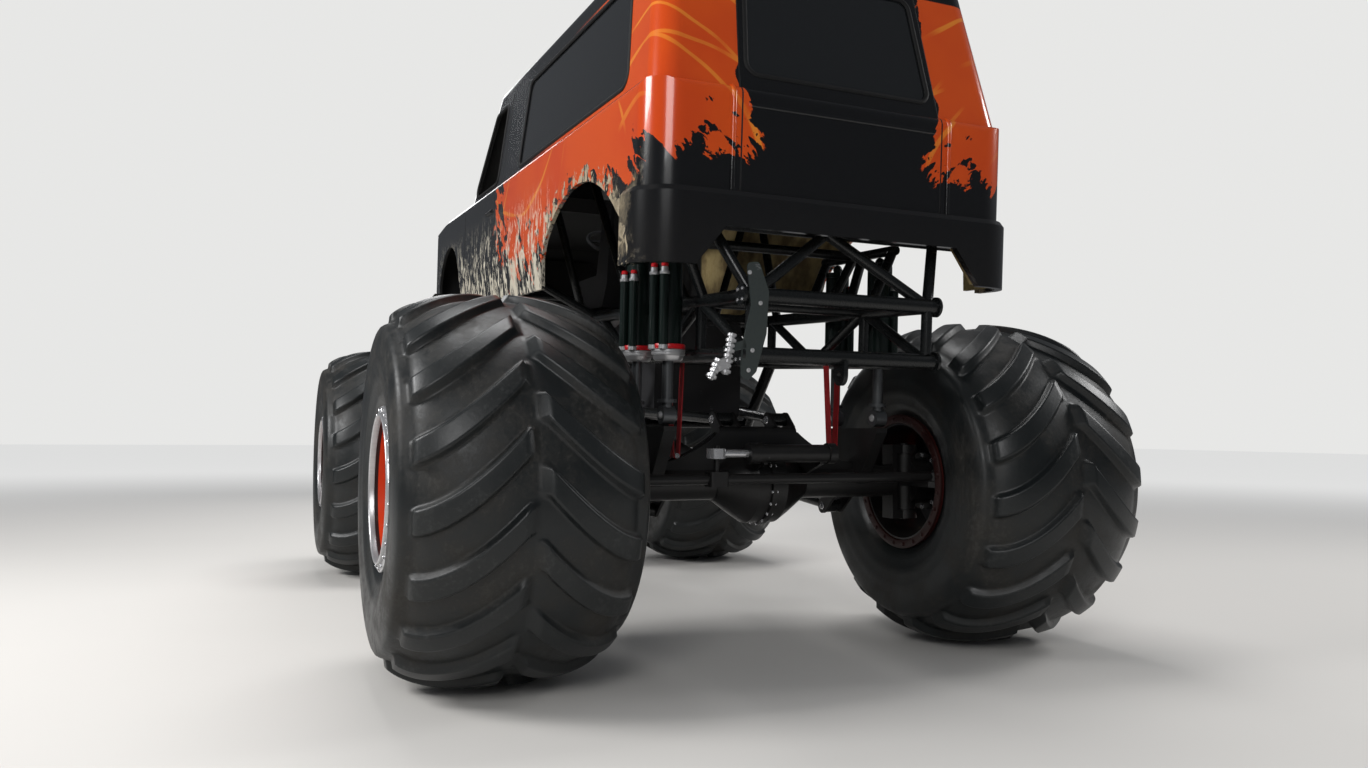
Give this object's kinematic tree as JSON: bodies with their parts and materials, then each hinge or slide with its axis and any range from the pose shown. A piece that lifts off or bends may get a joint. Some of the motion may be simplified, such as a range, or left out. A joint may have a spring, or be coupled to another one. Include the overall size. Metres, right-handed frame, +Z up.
{
  "type": "monster truck",
  "caption": "Monster truck with a tubular frame, a moulded closed body, four-wheel steering and huge low-pressure tyres.",
  "frame": {"origin": "on the ground, midway between the four wheels", "axes": "+X forward, +Y to the left side, +Z up"},
  "size_m": [5.276, 3.6, 3.35],
  "materials": {
    "frame_black": "satin black paint",
    "axle_steel": "semi-gloss black paint",
    "chrome_rod": "polished",
    "shock_body": "anodised dark",
    "rim_paint": "gloss orange red",
    "tyre_rubber": "dusty matte",
    "body_orange": "gloss paint on fibreglass",
    "body_black": "gloss black paint on fibreglass",
    "dark_glass": "dark tinted",
    "lamp_glass": "clear lens",
    "seat_vinyl": "matte",
    "floor_alloy": "brushed",
    "engine_iron": "cast"
  },
  "bodies": {
    "chassis": {"cabin_floor": "floor_alloy", "doors": "body_orange", "drive_shafts": "axle_steel", "driver_seat": "seat_vinyl", "engine_block": "engine_iron", "frame_braces": "frame_black", "frame_brackets": "frame_black", "frame_end_hoops": "frame_black", "frame_rails": "frame_black", "front_axle": "axle_steel", "front_bumper": "body_black", "front_fenders": "body_orange", "front_panel": "body_black", "headlamps": "lamp_glass", "hood": "body_black", "quarter_panels": "body_orange", "rear_axle": "axle_steel", "rear_bumper": "body_black", "roll_cage": "frame_black", "roof_panel": "body_black", "shock_bodies": "shock_body", "shock_rods": "chrome_rod", "shock_towers": "frame_black", "steering_rams": "axle_steel", "steering_wheel": "seat_vinyl", "suspension_links": "frame_black", "tailgate": "body_black", "transfer_case": "axle_steel", "window_panes": "dark_glass"},
    "wheel_fl": {"wheel_fl": "rim_paint", "tyre_fl": "tyre_rubber"},
    "knuckle_fl": {"knuckle_fl": "axle_steel"},
    "wheel_fr": {"wheel_fr": "rim_paint", "tyre_fr": "tyre_rubber"},
    "knuckle_fr": {"knuckle_fr": "axle_steel"},
    "wheel_rl": {"wheel_rl": "rim_paint", "tyre_rl": "tyre_rubber"},
    "knuckle_rl": {"knuckle_rl": "axle_steel"},
    "wheel_rr": {"wheel_rr": "rim_paint", "tyre_rr": "tyre_rubber"},
    "knuckle_rr": {"knuckle_rr": "axle_steel"},
    "tie_rod_front": {"tie_rod_front": "axle_steel"},
    "ram_rod_front": {"ram_rod_front": "chrome_rod"},
    "tie_rod_rear": {"tie_rod_rear": "axle_steel"},
    "ram_rod_rear": {"ram_rod_rear": "chrome_rod"}
  },
  "joints": [
    {"name": "steer_front", "type": "hinge", "parent": "chassis", "child": "knuckle_fl", "pos_m": [1.8, 0.87, 0.838], "axis": [0, 0, 1], "range_deg": [-20, 20]},
    {"name": "steer_front_right", "type": "hinge", "parent": "chassis", "child": "knuckle_fr", "pos_m": [1.8, -0.87, 0.838], "axis": [0, 0, 1], "range_deg": [-20, 20]},
    {"name": "tie_rod_front_pivot", "type": "hinge", "parent": "knuckle_fl", "child": "tie_rod_front", "pos_m": [2.05, 0.87, 0.838], "axis": [0, 0, 1], "range_deg": [-20, 20]},
    {"name": "ram_front_stroke", "type": "slide", "parent": "chassis", "child": "ram_rod_front", "axis": [0, 1, 0], "range_m": [-0.0856, 0.0856]},
    {"name": "spin_fl", "type": "hinge", "parent": "knuckle_fl", "child": "wheel_fl", "pos_m": [1.8, 1.3, 0.838], "axis": [0, 1, 0], "continuous": true},
    {"name": "spin_fr", "type": "hinge", "parent": "knuckle_fr", "child": "wheel_fr", "pos_m": [1.8, -1.3, 0.838], "axis": [0, 1, 0], "continuous": true},
    {"name": "steer_rear", "type": "hinge", "parent": "chassis", "child": "knuckle_rl", "pos_m": [-1.8, 0.87, 0.838], "axis": [0, 0, 1], "range_deg": [-20, 20]},
    {"name": "steer_rear_right", "type": "hinge", "parent": "chassis", "child": "knuckle_rr", "pos_m": [-1.8, -0.87, 0.838], "axis": [0, 0, 1], "range_deg": [-20, 20]},
    {"name": "tie_rod_rear_pivot", "type": "hinge", "parent": "knuckle_rl", "child": "tie_rod_rear", "pos_m": [-2.05, 0.87, 0.838], "axis": [0, 0, 1], "range_deg": [-20, 20]},
    {"name": "ram_rear_stroke", "type": "slide", "parent": "chassis", "child": "ram_rod_rear", "axis": [0, 1, 0], "range_m": [-0.0856, 0.0856]},
    {"name": "spin_rl", "type": "hinge", "parent": "knuckle_rl", "child": "wheel_rl", "pos_m": [-1.8, 1.3, 0.838], "axis": [0, 1, 0], "continuous": true},
    {"name": "spin_rr", "type": "hinge", "parent": "knuckle_rr", "child": "wheel_rr", "pos_m": [-1.8, -1.3, 0.838], "axis": [0, 1, 0], "continuous": true}
  ],
  "couplings": [
    {"joint": "steer_front_right", "follows": "steer_front", "ratio": 1},
    {"joint": "tie_rod_front_pivot", "follows": "steer_front", "ratio": -1},
    {"joint": "ram_front_stroke", "follows": "steer_front", "m_per_rad": 0.24495},
    {"joint": "steer_rear_right", "follows": "steer_rear", "ratio": 1},
    {"joint": "tie_rod_rear_pivot", "follows": "steer_rear", "ratio": -1},
    {"joint": "ram_rear_stroke", "follows": "steer_rear", "m_per_rad": -0.24495}
  ]
}
